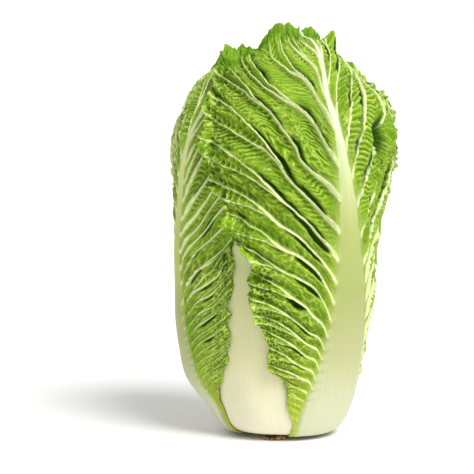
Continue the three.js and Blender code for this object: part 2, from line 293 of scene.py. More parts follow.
def under(count, angle, y):
    """How deep the first `count` leaves press a place of the head, and the share that they leave bare.

    close is the same share, but taken right up to their margins.
    """
    depth, bare, close = np.zeros_like(y), np.ones_like(y), np.ones_like(y)
    above_foot = smooth(*FOOT, y)
    for leaf in LEAVES[:count]:
        turn = angle - rib_angle(leaf, y)
        x = (turn - 2 * np.pi * np.round(turn / (2 * np.pi))) * wrap_radius(y)
        outside = np.abs(x) - half_width(leaf, x, y)
        cover = 1 - smooth(COVER_EDGE, COVER_EDGE + COVER_FADE, outside)
        share = y / leaf["length"]
        past_rib = smooth(0, rib_width(share) + mix(*HOLLOW_EDGE, above_foot), np.abs(x))
        hollow = rib_thickness(share) * (1 - past_rib)
        air = AIR * mix(FOOT_AIR, 1, above_foot) + CROWN_AIR * smooth(*CROWN, y)
        pleats = PLEAT * (1 - smooth(-34, -8, outside)) * smooth(*VEIN_SPAN, share)
        depth += cover * (BLADE + air + (1 - rib_proud(leaf, y)) * hollow + pleats * bare)
        bare *= 1 - cover
        close *= smooth(-4, 12, outside)
    return depth, bare, close


# ---- smooth noise on two coordinates ----
LATTICE = np.random.default_rng(7).random((64, 64)) * 2 - 1


def noise(x, y, seed=0):
    """Smooth noise from -1 to 1 that changes over a distance of about 1."""
    x, y = x + seed * 17.3, y + seed * 5.9
    i, j = np.floor(x).astype(int), np.floor(y).astype(int)
    fx, fy = smooth(0, 1, x - i), smooth(0, 1, y - j)
    corner = lambda di, dj: LATTICE[(i + di) % 64, (j + dj) % 64]
    low = mix(corner(0, 0), corner(1, 0), fx)
    high = mix(corner(0, 1), corner(1, 1), fx)
    return mix(low, high, fy)


def cells(x, y, seed=0):
    """How far a point lies from the borders of irregular cells about 1 across: 0 on a border."""
    i, j = np.floor(x).astype(int), np.floor(y).astype(int)
    nearest, second = np.full(x.shape, 9.0), np.full(x.shape, 9.0)
    for di in (-1, 0, 1):
        for dj in (-1, 0, 1):
            a, b = (i + di + seed * 7) % 64, (j + dj + seed * 13) % 64
            cx = i + di + 0.5 + 0.42 * LATTICE[a, b]
            cy = j + dj + 0.5 + 0.42 * LATTICE[b, (a + 31) % 64]
            away = np.hypot(x - cx, y - cy)
            second = np.minimum(second, np.maximum(nearest, away))
            nearest = np.minimum(nearest, away)
    return second - nearest


DRAWS = np.random.default_rng(11).random((97, 8))


def draw(number, kind):
    """A fixed random share for each whole number, of one of eight kinds."""
    return DRAWS[np.asarray(number).astype(int) % 97, kind]


# ---- one leaf, worked out step by step on a grid that is laid over it ----
class Sheet:
    """What is known of a leaf at each point of its grid.

    w runs up the rib and out from the rib (0) to the margin (1). side is -1 left of the rib and 1 right.
    """
    def __init__(self, order):
        self.order, self.leaf, self.length = order, LEAVES[order], LEAVES[order]["length"]
        w = np.interp(np.linspace(0, ROW_COUNT[-1], self.leaf["rows"] + 1), ROW_COUNT, STEPS)[:, None]
        reach = np.linspace(1, 0, self.leaf["blade"] + 1)
        ones = np.ones(self.leaf["blade"] + 1)
        across = np.linspace(-1, 1, RIB_COLUMNS + 1)[1:-1]
        out = np.concatenate([reach, 0 * across, reach[::-1]])
        side = np.concatenate([-ones, np.sign(across + 1e-9), ones])
        on_rib = np.concatenate([-ones, across, ones])
        self.w, self.out, self.side, self.on_rib = np.broadcast_arrays(w, out, side, on_rib)

    def pattern(self, size, seed):
        return noise(self.x / size, self.y / size, seed)


def grow_margin(s):
    """Where each row leaves the rib, and where it ends on the lobed margin, which rolls outwards."""
    tip = np.sqrt(np.maximum(1 - smooth(0.96, 1, s.w), 0))
    s.foot = LAST_VEIN * s.w * s.length
    s.end = vein_end(s.w) * s.length
    s.rib = rib_width(s.foot / s.length) * tip
    s.edge_at = s.end + s.side * 40 + s.order * 13.7
    lobes = sum(far * noise(s.edge_at / long, s.side * 3.1, seed) for far, long, seed in LOBES)
    s.calm = mix(1, 0.45, smooth(0.84, 0.94, s.w))
    s.grown_edge = smooth(0.06, 0.25, s.end / s.length)
    margin = (half_width(s.leaf, s.side, s.end) + lobes * s.calm * mix(0.35, 1, s.grown_edge)) * tip
    s.margin = np.maximum(margin, s.rib + LEAST_BLADE * tip)
    s.span = np.hypot(s.margin - s.rib, s.end - s.foot) * 1.04 + 0.01
    s.from_edge = (1 - s.out) * s.span

    roll = smooth(-0.25, 0.7, noise(s.edge_at / 19, s.side * 2.3, 3)) * s.grown_edge
    rolled = np.maximum(ROLL_STRIP - s.from_edge, 0)
    bend = ROLL_RADIUS / np.maximum(roll, 0.02)
    s.lift = bend * (1 - np.cos(rolled / bend))
    s.drawn_in = (bend * np.sin(rolled / bend) - rolled) / s.span * (s.out > 0)


def lay_veins(s):
    """Where each point lies across (x) and along (y) the flat leaf, and how the side veins run there.

    p counts them up the leaf, spacing is the distance between them, and reach how far out a point is.
    """
    # Low down the side veins leave the rib steeply and bend over; higher up they run straight.
    straight = smooth(*STRAIGHT_SPAN, s.w)
    drop = VEIN_DROP * smooth(0.05, 0.25, s.w) * (1 - straight)
    bend_out, bend_up = (mix(bent, even, straight) for bent, even in zip(BENT_VEIN, STRAIGHT_VEIN))

    def flat(t):
        arch = 2 * t * (1 - t)
        x = s.rib + (s.margin - s.rib) * (arch * bend_out + t**2)
        y = s.foot + (s.end - s.foot) * (arch * bend_up + t**2) - drop * np.maximum(1 - t / 0.13, 0) ** 2
        return np.where(t > 0, s.side * x, s.on_rib * s.rib), y

    x, y = flat(s.out)
    s.reach = s.out * s.span
    zigzag = (0.06 * noise(x / 11, y / 11, 23) + 0.02 * noise(x / 4, y / 4, 24)) * smooth(0, 0.2, s.out)
    p = np.interp(s.w, STEPS, VEIN_COUNT) * s.length / s.leaf["gap"] + 0.45 * (s.side > 0)
    p = p + 0.4 * noise(p * 0.45, s.side * 7.3, 4 + s.order)
    sway = noise(s.w * 9, s.out * 2.4 + s.side * 4, 5 + s.order)
    p = p + mix(0.5, 0.32, straight) * sway * smooth(0, 0.3, s.out)
    s.p = p + zigzag

    (x_up, x_out), (y_up, y_out), (reach_up, reach_out) = (np.gradient(part) for part in (x, y, s.reach))
    cross = np.abs(x_up * y_out - y_up * x_out)
    step = np.hypot(x_out, y_out) + 1e-6
    s.spacing = np.clip(cross / step / np.maximum(np.gradient(p, axis=0), 1e-3), 2.5, 30)
    # How much reach changes for each millimetre straight across the veins.
    back = x_up * x_out + y_up * y_out
    s.lean = np.clip((reach_up - reach_out * back / step**2) * step / (cross + 1e-6), -2.5, 1)
    s.x, s.y = flat(s.out + s.drawn_in)
    s.share = s.y / s.length


def raise_veins(s):
    """The side veins, which stand out of the blade and mostly fork on their way out.

    Between two of them, below is the lower one's number and climb the share of the way up to the next.
    """
    s.below = np.floor(s.p - 0.5)
    s.climb = s.p - 0.5 - s.below
    s.own = s.side * 29 + s.order * 7

    def fork_of(number):
        start = mix(0.1, 0.6, draw(number + s.own, 1))
        forked = draw(number + s.own, 0) < 0.9
        return forked * mix(0.14, 0.3, draw(number + s.own, 2)) * smooth(start, start + 0.5, s.out)

    s.fork_low, s.fork_high = fork_of(s.below), fork_of(s.below + 1)
    s.size = np.clip(s.spacing / 12, 0.35, 1.2)
    to_vein = np.minimum(np.abs(s.climb - s.fork_low), np.abs(1 - s.climb - s.fork_high)) * s.spacing
    root = np.where(s.side < 0, 2.2, 1) * s.size * peak(s.reach, 5)
    width = mix(2.5, 0.7, s.out**0.6) * s.size**0.6 + root
    width = width * (1 + 0.22 * noise(s.reach / 7, s.below * 3.7 + s.side, 21))
    s.vein = peak(to_vein, width)

    left, right, edge = VEIN_RISE
    apart = mix(0.35, 1, smooth(2.5, 4.5, s.spacing))
    rise = apart * (mix(np.where(s.side < 0, left, right), edge, s.out**0.5) * s.size + 0.5)
    s.vein_rise = rise * np.where(s.out > 0, 1, 0.7 * smooth(0.7, 1, np.abs(s.on_rib))) * s.vein
    s.grown = smooth(*VEIN_SPAN, s.share) * smooth(0, 0.04, 1 - s.w) * smooth(0, 0.02, s.w)
    s.blade_grown = s.grown * smooth(0, 0.06, s.out)


def fold_panels(s):
    """Each panel rises from its lower vein to a soft fold, and drops into a crevice under the upper one.

    High on the leaf the narrow crevice runs right above the lower vein instead.
    """
    s.high = s.below > np.interp(TURN_OVER, STEPS, VEIN_COUNT) * s.length / s.leaf["gap"]
    gap = 1 - s.fork_low - s.fork_high
    t = (s.climb - s.fork_low) / gap
    t = np.where(s.high, 1 - t, t)
    panel = s.below + s.own
    far_low = 1 - 0.8 * smooth(34, 84, s.reach + 24 * draw(panel, 5))
    far = np.where(s.high, 1 - 0.7 * smooth(60, 105, s.reach), far_low)
    lens = smooth(0, 24, s.reach) * far * (0.75 + 0.8 * noise(s.reach / 12, s.below * 5.1 + s.side * 2, 14))
    wide = s.leaf["crease"] * lens * mix(0.16, 0.44, draw(panel, 3)) * np.where(s.high, 0.48, 1)
    wide = np.clip(wide, 0.03, 0.5)
    lip = 0.96 - wide
    into = (t - lip) / (1 - lip)
    crevice = smooth(-0.2, 0.3, into) * (1 - smooth(0.6, 1.02, into))
    deep = np.minimum(CREVICE_DEPTH, 0.6 * s.size + 1.2 * wide * gap * s.spacing)
    u = np.clip(t / lip, 0, 1)
    fold = FOLD_HEIGHT * smooth(0.15, 0.8, u) * (1 - 0.3 * smooth(0.85, 1, u))
    fold = fold - FOLD_DIP * peak(u - 0.18, 0.13)
    s.fold_line = peak((u - 0.86) * lip * gap * s.spacing, 0.9) * smooth(0.08, 0.2, wide)
    folds = (fold * s.size + 0.4 * s.fold_line) * smooth(0, 0.08, s.out)
    s.large = (folds - deep * crevice * smooth(0, 0.05, s.out) + s.vein_rise) * s.grown

    # Painted shade: the colour is darker in the crevices and on the soft side of the folds, where less light
    # falls.
    dark = smooth(-0.1, 0.3, into) * (1 - smooth(0.7, 1, into)) * smooth(0.4, 2.4, wide * gap * s.spacing)
    soft_high = smooth(0.5, 0.9, t) * (1 - smooth(0.93, 1, t))
    soft = np.where(s.high, soft_high, 0.8 * peak(u - 0.2, 0.16))
    s.shade = dark * s.blade_grown
    s.shade = s.shade + 0.5 * smooth(-0.4, 0.2, s.pattern(13, 25)) * soft * s.blade_grown


def crinkle_panels(s):
    """The finer veins: branches that run off the side veins like rungs, and a net with sunken meshes.

    branch counts the branches, ladder is how strong they are, and web and crinkle are 0 on the net's lines.
    """
    up = smooth(0.4, 0.75, s.share)
    from_top = s.high | (s.climb > 0.5)
    off_vein = np.maximum(np.where(from_top, 1 - s.fork_high - s.climb, s.climb - s.fork_low), 0) * s.spacing
    slope = mix(1.5, np.where(s.side < 0, 1.1, 0.5), up) + np.where(from_top, -s.lean, s.lean)
    along = s.reach - slope * off_vein
    s.branch = along / mix(*BRANCH_GAPS, up) + 7 * draw(s.below + s.own + ~from_top, 4)
    s.branch = s.branch + 0.6 * s.pattern(12, 15) + 0.22 * s.pattern(5, 16)
    branch_line = (0.5 + 0.5 * np.cos(2 * np.pi * s.branch)) ** 3
    ladder_low = np.maximum(1 - smooth(0.15, 0.45, s.climb), smooth(0.6, 0.9, s.climb))
    ladder = np.where(s.high, smooth(0.1, 0.6, s.climb), ladder_low)
    patches = mix(0.3, 1.1, smooth(-0.35, 0.25, s.pattern(13, 28)))
    s.ladder = ladder * patches * np.where(s.side < 0, 1, 1.3)
    rungs = np.clip(s.ladder, 0, 1)

    warp_x, warp_y = 1.5 * s.pattern(7, 17), 1.5 * s.pattern(7, 18)
    web_along = (along + 1.6 * warp_x) / MESH_LONG + s.side * 9
    web_low, web_high = (
        cells(web_along, (s.climb * s.spacing + warp * warp_y) / mesh + s.below * 5, s.order + seed)
        for mesh, warp, seed in zip(MESH_HIGH, (1, 1.6), (0, 5))
    )
    s.web = mix(web_low, web_high, up)
    s.crinkle = cells((s.x + 0.7 * warp_x) / CRINKLE_CELL, (s.y + 0.7 * warp_y) / CRINKLE_CELL, s.order + 3)
    near_edge = 1 - smooth(6, 34, s.from_edge + 9 * s.pattern(15, 22))
    rough = (0.85 + 0.6 * s.pattern(22, 20)) * mix(0.35, 1, smooth(4, mix(40, 12, up), s.reach))
    rough = rough * mix(1, 1.5, near_edge)
    inside = smooth(0, 0.09, s.climb) * (1 - smooth(0.91, 1, s.climb)) * (1 - s.vein)
    pockets = mix(smooth(0, 0.6, s.web), 1, 0.7 * up * rungs)
    pockets = pockets * mix(1, 1 - branch_line, mix(0.3 * s.ladder, 0.5 + 0.5 * rungs, up))
    dips = mix(0.55, np.where(s.side < 0, 1.25, 1.7), up) * mix(1, 0.7, near_edge) * pockets
    dips = dips + mix(0.1, 0.75, near_edge) * smooth(0, 0.55, s.crinkle)
    s.small = -CRINKLE_DEPTH * dips * rough * inside * s.blade_grown

    # net is under a half in the sunken meshes, and over it on the borders between them and along the soft
    # folds.
    # The material paints the meshes darker as painted shade and the fold lines lighter as a painted
    # highlight.
    net = np.clip(1.1 - dips / mix(0.75, 1.25, up), 0, 1)
    net = mix(0.5, mix(0.5, net, smooth(0.1, 0.9, rough)), inside * s.blade_grown)
    # A painted highlight along the crest of each soft fold.
    s.net = np.maximum(net, 0.5 + 0.45 * s.fold_line * s.blade_grown)
    s.rough = np.clip(rough, 0, 1.2) * inside * s.blade_grown


def frill_edge(s):
    """The margin waves in and out, with small ripples on the waves and painted shade in pits behind them."""
    wander = s.from_edge / 6
    waves = smooth(-0.4, 0.6, noise(s.edge_at / 8.5, s.side * 4 + wander, 8))
    ruffle = RUFFLE * np.maximum(1 - s.from_edge / RUFFLE_STRIP, 0) ** 1.4 * waves
    ripples = noise(s.edge_at / 3.6, s.side * 4 + wander * 1.6, 9)
    ripple = RIPPLE * np.maximum(1 - s.from_edge / RIPPLE_STRIP, 0) ** 1.3 * ripples
    above_foot = mix(0.3, 1, smooth(0.2, 0.5, s.end / s.length))
    s.edge = (ruffle + ripple * s.calm + s.lift) * above_foot * s.grown_edge * (s.out > 0)
    # Painted shade in the pits behind the waves of the margin.
    pits = 0.75 * smooth(0, 0.3, noise(s.x / 3.4 + 3, s.y / 3.4, 27)) * smooth(6, 2, ruffle)
    s.shade = s.shade + pits * smooth(22, 12, s.from_edge) * smooth(0.3, 0.5, s.share) * s.blade_grown


def swell_blade(s):
    """The broad shape of the blade, which runs on over many side veins."""
    s.swell = 2.4 * s.pattern(34, 10 + s.order) * smooth(0.3, 0.6, s.share) * smooth(0, 0.2, s.out)
    s.swell = s.swell + s.leaf["flare"] * smooth(*FLARE_SPAN, s.share) * (1 - smooth(14, 46, np.abs(s.x)))
    for *where, amount in s.leaf["swells"]:
        s.swell = s.swell + amount * bell(s.x, s.y, *where)
    for *where, amount in s.leaf["bellies"]:
        s.swell = s.swell + amount * bell(s.x, s.y, *where) * smooth(-2, 30, s.from_edge)
    # Painted shade where the blade turns away from the light in a hollow.
    for where in s.leaf["shade_spots"]:
        s.shade = s.shade + 1.6 * bell(s.x, s.y, *where)


def leaf_faces(s):
    """Outer and inner face of the leaf on the head, pressed in by the leaves that lie over it."""
    angle = rib_angle(s.leaf, s.y) + s.x / wrap_radius(s.y)
    depth, bare, close = under(s.order, angle, s.y)
    q = np.abs(s.x) / np.maximum(rib_width(s.share), 0.1)
    s.rib_seen = q * mix(1, s.leaf["slim"], smooth(0.36, 0.5, s.share))
    bulge = rib_thickness(s.share) * (1 - np.minimum(q, 1) ** 2) ** 0.8
    proud = rib_proud(s.leaf, s.y) * bulge
    groove = 0.14 * noise(s.x / 2.6, s.y / 60, 11) * (np.abs(s.on_rib) < 1)
    tame = 1 - 0.55 * smooth(0.86, 0.96, s.share)
    stand = (s.large * tame + s.swell) * bare + s.edge * np.maximum(bare, 0.35 * close)
    stand = stand + s.small * tame * mix(0.25, 1, close)
    face = stand - depth + proud * bare + groove
    thick = BLADE + (bulge - proud) + proud * (1 - bare)
    # The inner face keeps below every dent of the outer one, but meets it at the margin.
    low = face.copy()
    for _ in range(2):
        low[1:-1] = np.minimum(np.minimum(low[:-2], low[2:]), low[1:-1])
        low[:, 1:-1] = np.minimum(np.minimum(low[:, :-2], low[:, 2:]), low[:, 1:-1])
    inner = place(angle, s.y, mix(face, low, smooth(0, 3, s.from_edge)) - thick)
    return place(angle, s.y, face), inner


def leaf_sheet(order):
    """Outer and inner face of a leaf as grids of points, and what its material reads at each point."""
    s = Sheet(order)
    for step in (grow_margin, lay_veins, raise_veins, fold_panels, crinkle_panels, frill_edge, swell_blade):
        step(s)
    outer, inner = leaf_faces(s)
    reads = {
        "web": (s.web, s.crinkle, s.rough),
        "cross": (s.ladder, s.leaf["rib_shade"], 0),
        "vein": (s.p, s.branch, s.spacing),
        "leaf": (s.rib_seen, s.share, s.from_edge),
        "flat": (s.x, s.y, np.where(s.climb < 0.5, s.fork_low, s.fork_high)),
        "grow": (s.out, np.clip(s.shade, 0, 1), s.net),
    }
    return outer, inner, {name: np.stack(np.broadcast_arrays(*parts), -1) for name, parts in reads.items()}


def build_leaf(order):
    """A closed mesh of a leaf: a fine outer face, an inner face with half its points, and a rim."""
    leaf = LEAVES[order]
    outer, inner, reads = leaf_sheet(order)
    rows, columns = outer.shape[0] - 1, outer.shape[1] - 1

    def numbers(step, first):
        """Point numbers of a face. The two halves of its last row share their points."""
        r, c = rows // step, columns // step
        grid = first + np.arange((r + 1) * (c + 1)).reshape(r + 1, c + 1)
        j = np.arange(c + 1)
        grid[-1] = grid[-1, 0] + np.minimum(np.minimum(j, c - j), leaf["blade"] // step)
        return grid

    def faces(grid, flip):
        a, b, c, d = grid[:-1, :-1], grid[:-1, 1:], grid[1:, 1:], grid[1:, :-1]
        two = np.concatenate([np.stack(t, -1).reshape(-1, 3) for t in ((a, b, c), (a, c, d))])
        return two[:, ::-1] if flip else two

    def rim(fine_line, coarse_line, flip):
        a, m, b = fine_line[:-2:2], fine_line[1::2], fine_line[2::2]
        ca, cb = coarse_line[:-1], coarse_line[1:]
        strip = np.concatenate([np.stack(t, -1) for t in ((a, ca, m), (m, ca, cb), (m, cb, b))])
        return strip[:, ::-1] if flip else strip

    def both(whole, halved):
        return np.concatenate([whole.reshape(-1, 3), halved[::2, ::2].reshape(-1, 3)])

    fine, coarse = numbers(1, 0), numbers(2, outer.shape[0] * outer.shape[1])
    back = faces(coarse, True)
    triangles = np.concatenate([
        faces(fine, False),
        rim(fine[:, 0], coarse[:, 0], True),
        rim(fine[:, -1], coarse[:, -1], False),
        rim(fine[0], coarse[0], False),
        back,
    ])
    inside = np.zeros(len(triangles), int)
    inside[-len(back):] = 1
    a, b, c = triangles.T
    good = (a != b) & (b != c) & (c != a)
    values = {name: both(grid, grid) for name, grid in reads.items()}
    return mesh_object(leaf["name"] + "_leaf", both(outer, inner), triangles[good], values, inside[good])


# ---- the heart: dense inner leaves, whose yellow tips lap over each other on the crown ----
def build_heart():
    end = OUTLINE_LENGTH - 4
    y = mix(HEART_FOOT, end, (np.arange(HEART_ROWS + 1) / HEART_ROWS)[:, None] ** 0.8)
    angle = np.radians(np.arange(HEART_COLUMNS) * 360 / HEART_COLUMNS)[None, :]
    y, angle = np.broadcast_arrays(y, angle)
    depth = under(len(LEAVES), angle, y)[0]
    crown = smooth(210, 270, y)
    depth = mix(depth, depth.max(axis=1, keepdims=True), crown)
    middle = 1 - smooth(8, 40, end - y)
    wavy = (0.06 * np.sin(9 * angle) + 0.04 * np.sin(17 * angle + 1)) * (1 - middle)
    turn = HEART_TIPS * angle / (2 * np.pi) + (end - y) / 60 + wavy
    lap = turn - np.floor(turn)
    tip = smooth(0, 0.12, lap) * smooth(0, 0.05, 1 - lap)
    px, py = surface(y)[0] * np.sin(angle), surface(y)[0] * np.cos(angle)
    crinkle = cells(px / 5, py / 5, 3)
    frill = 1.5 * smooth(0.7, 1, lap) * noise(px / 3.2, py / 3.2, 30)
    bumps = -1.6 * smooth(0, 0.6, crinkle) * tip + frill
    rise = mix(4, 2, middle) * lap - 5 + bumps * (1 - 0.5 * middle) + 5 * smooth(60, 10, end - y)
    points = place(angle, y, crown * rise - depth)
    closing = np.array([[0, 0, HEART_FLOOR], [0, 0, points[-1, :, 2].mean()]])
    points = np.concatenate([points.reshape(-1, 3), closing])
    triangles = closed_rings(np.arange(y.size).reshape(y.shape), len(points) - 2, len(points) - 1)
    reads = np.stack([lap.ravel(), crown.ravel(), crinkle.ravel()], -1)
    reads = np.concatenate([reads, [[0.5, 0, 0.5], [0.5, 1, 0.5]]])
    return mesh_object("heart_leaves", points, triangles, {"heart": reads})


def closed_rings(grid, bottom, top):
    """Triangles of a body made of rings of points, from the lowest to the highest, closed by two poles."""
    a, b = grid[:-1], np.roll(grid[:-1], -1, axis=1)
    d, c = grid[1:], np.roll(grid[1:], -1, axis=1)
    first, last = grid[0], grid[-1]
    parts = [
        (a, b, c), (a, c, d),
        (np.full_like(first, bottom), np.roll(first, -1), first),
        (last, np.roll(last, -1), np.full_like(last, top)),
    ]
    return np.concatenate([np.stack(part, -1).reshape(-1, 3) for part in parts])


# ---- the stem: cut flat by the knife, with a ring of leaf scars and dried shreds above the cut ----
def build_stem():
    profile = spline(STEM_OUTLINE, 9)
    angle = np.radians(np.arange(STEM_COLUMNS) * 360 / STEM_COLUMNS)[None, :]
    r, z, angle = np.broadcast_arrays(profile[:, :1], profile[:, 1:], angle)
    along = angle * STEM_RADIUS
    side = smooth(22, 24, r)
    ragged = np.abs(noise(along / 2.1, z / 1.6, 31)) + 0.6 * noise(along / 5, z / 2, 32)
    scars = smooth(0.2, 0.8, noise(along / 9, z * 0.9, 33))
    far = r + side * (0.9 * ragged * (1 - smooth(2, 4, z)) - 0.5 * scars - 0.35)
    rings = 0.12 * noise(r / 1.6, along / 14, 34) * (z < 0.2) * smooth(0, 5, 24 - r)
    points = np.stack([far * np.sin(angle), -far * np.cos(angle), np.maximum(z + np.abs(rings), 0)], -1)
    points = [np.concatenate([points.reshape(-1, 3), [[0, 0, 0], [0, 0, STEM_TOP]]])]
    triangles = [closed_rings(np.arange(r.size).reshape(r.shape), r.size, r.size + 1)]
    for number in range(SHREDS):
        shred, faces = dried_shred(number)
        triangles.append(faces + sum(len(part) for part in points))
        points.append(shred)
    return mesh_object("cut_stem", np.concatenate(points), np.concatenate(triangles), {})


def dried_shred(number):
    """A dried scrap of an old leaf foot: a thin strip that creeps out from the stem under the leaves."""
    t = np.linspace(0, 1, 12)[:, None]
    turn = np.linspace(0, 2 * np.pi, 9)[None, :-1]
    middle = mix(*SHRED_ANGLES, (number + 0.8 * draw(number, 5)) / SHREDS)
    angle = np.radians(middle + 5 * t * noise(t * 2, number * 3.1, 41))
    reach = STEM_RADIUS + mix(*SHRED_REACH, draw(number, 6)) * t
    height = 1.5 + mix(0.2, 1.1, draw(number, 7)) * np.sin(np.pi * t) + 0.5 * noise(t * 4, number * 2.3, 42)
    thin = np.sqrt(np.maximum(1 - t**3, 0.02))
    across = mix(0.5, 1.1, draw(number, 4)) * thin * np.cos(turn)
    height = np.maximum(height + SHRED_THICKNESS * thin * np.sin(turn), 0.1)
    x = reach * np.sin(angle) + across * np.cos(angle)
    y = -reach * np.cos(angle) + across * np.sin(angle)
    rings = np.stack([x, y, height], -1)
    points = np.concatenate([rings.reshape(-1, 3), rings[[0, -1]].mean(axis=1)])
    return points, closed_rings(np.arange(x.size).reshape(x.shape), x.size, x.size + 1)


def mesh_object(name, points, triangles, values, slots=None):
    """A smooth mesh from points in millimetres and triangles, without the points that no triangle uses."""
    used, triangles = np.unique(triangles, return_inverse=True)
    triangles = triangles.reshape(-1, 3)
    mesh = bpy.data.meshes.new(name)
    mesh.vertices.add(len(used))
    mesh.vertices.foreach_set("co", (points[used] * MM).astype(np.float32).ravel())
    mesh.loops.add(triangles.size)
    mesh.loops.foreach_set("vertex_index", triangles.astype(np.int32).ravel())
    mesh.polygons.add(len(triangles))
    mesh.polygons.foreach_set("loop_start", np.arange(0, triangles.size, 3, dtype=np.int32))
    mesh.polygons.foreach_set("use_smooth", np.ones(len(triangles), bool))
    if slots is not None:
        mesh.polygons.foreach_set("material_index", slots.astype(np.int32))
    for key, value in values.items():
        layer = mesh.attributes.new(key, "FLOAT_VECTOR", "POINT")
        layer.data.foreach_set("vector", value[used].astype(np.float32).ravel())
    mesh.update(calc_edges=True)
    mesh.validate()
    piece = bpy.data.objects.new(name, mesh)
    bpy.context.collection.objects.link(piece)
    return piece


# ---- materials ----
STEP = dict(interpolation_type="SMOOTHSTEP")
TIMES, PLUS, MINUS = dict(operation="MULTIPLY"), dict(operation="ADD"), dict(operation="SUBTRACT")
SIZE, FRACT = dict(operation="ABSOLUTE"), dict(operation="FRACT")


def linear(hex_colour):
    """An sRGB hex colour as linear red, green, blue and alpha."""
    parts = [int(hex_colour[i:i + 2], 16) / 255 for i in (1, 3, 5)]
    return (*(c / 12.92 if c <= 0.04045 else ((c + 0.055) / 1.055) ** 2.4 for c in parts), 1)


def node_adder(tree):
    """The one function that adds nodes to a tree. It gives back one of the node's outputs.

    Values go to the inputs in order, where None leaves one alone, options with a capital letter to the inputs
    of that name, and the other options are the node's own settings.
    """
    def add(kind, *values, out=0, **options):
        node = tree.nodes.new("ShaderNode" + kind)
        inputs = {key: value for key, value in enumerate(values) if value is not None}
        for key, value in options.items():
            if key[0].isupper():
                inputs[key.replace("_", " ")] = value
            else:
                setattr(node, key, value)
        for key, value in inputs.items():
            if isinstance(value, bpy.types.NodeSocket):
                tree.links.new(value, node.inputs[key])
            else:
                node.inputs[key].default_value = value
        return node.outputs[out] if node.outputs else None

    return add


def new_material(name):
    material = bpy.data.materials.new(name)
    material.use_nodes = True
    material.node_tree.nodes.clear()
    return material, node_adder(material.node_tree)


def lay_colours(add, colour, layers):
    """Lays colours over a first one, each by an amount: (amount, colour)."""
    for amount, over in layers:
        over = linear(over) if isinstance(over, str) else over
        colour = add("Mix", amount, *[None] * 5, colour, over, data_type="RGBA", out=2)
    return colour


def read(add, name):
    """The three values that the mesh holds under a name."""
    return add("SeparateXYZ", add("Attribute", attribute_name=name, out="Vector")).node.outputs[:3]


# Patterns per millimetre of leaf, for clouds 22 mm across, grain 2.5, a warp of 4 and skin cells 2.4 mm, and
# per metre of the heart and the stem. Real skin cells are too fine to show, so they are drawn this coarse.
CLOUDS, GRAIN, WARP, SKIN_CELLS = 0.045, 0.4, 0.25, 0.42
WARP_REACH = (3.0, 3.0, 0.0)
STREAK_ACROSS, STREAK_ALONG = 0.55, 0.012
HEART_CLOUDS, STEM_CLOUDS, SAP_STRANDS = 60.0, 90.0, 420.0
RIB_STOPS = (0.0, 0.12, 0.24, 0.38, 0.52, 0.62, 0.75)  # share of the leaf's length


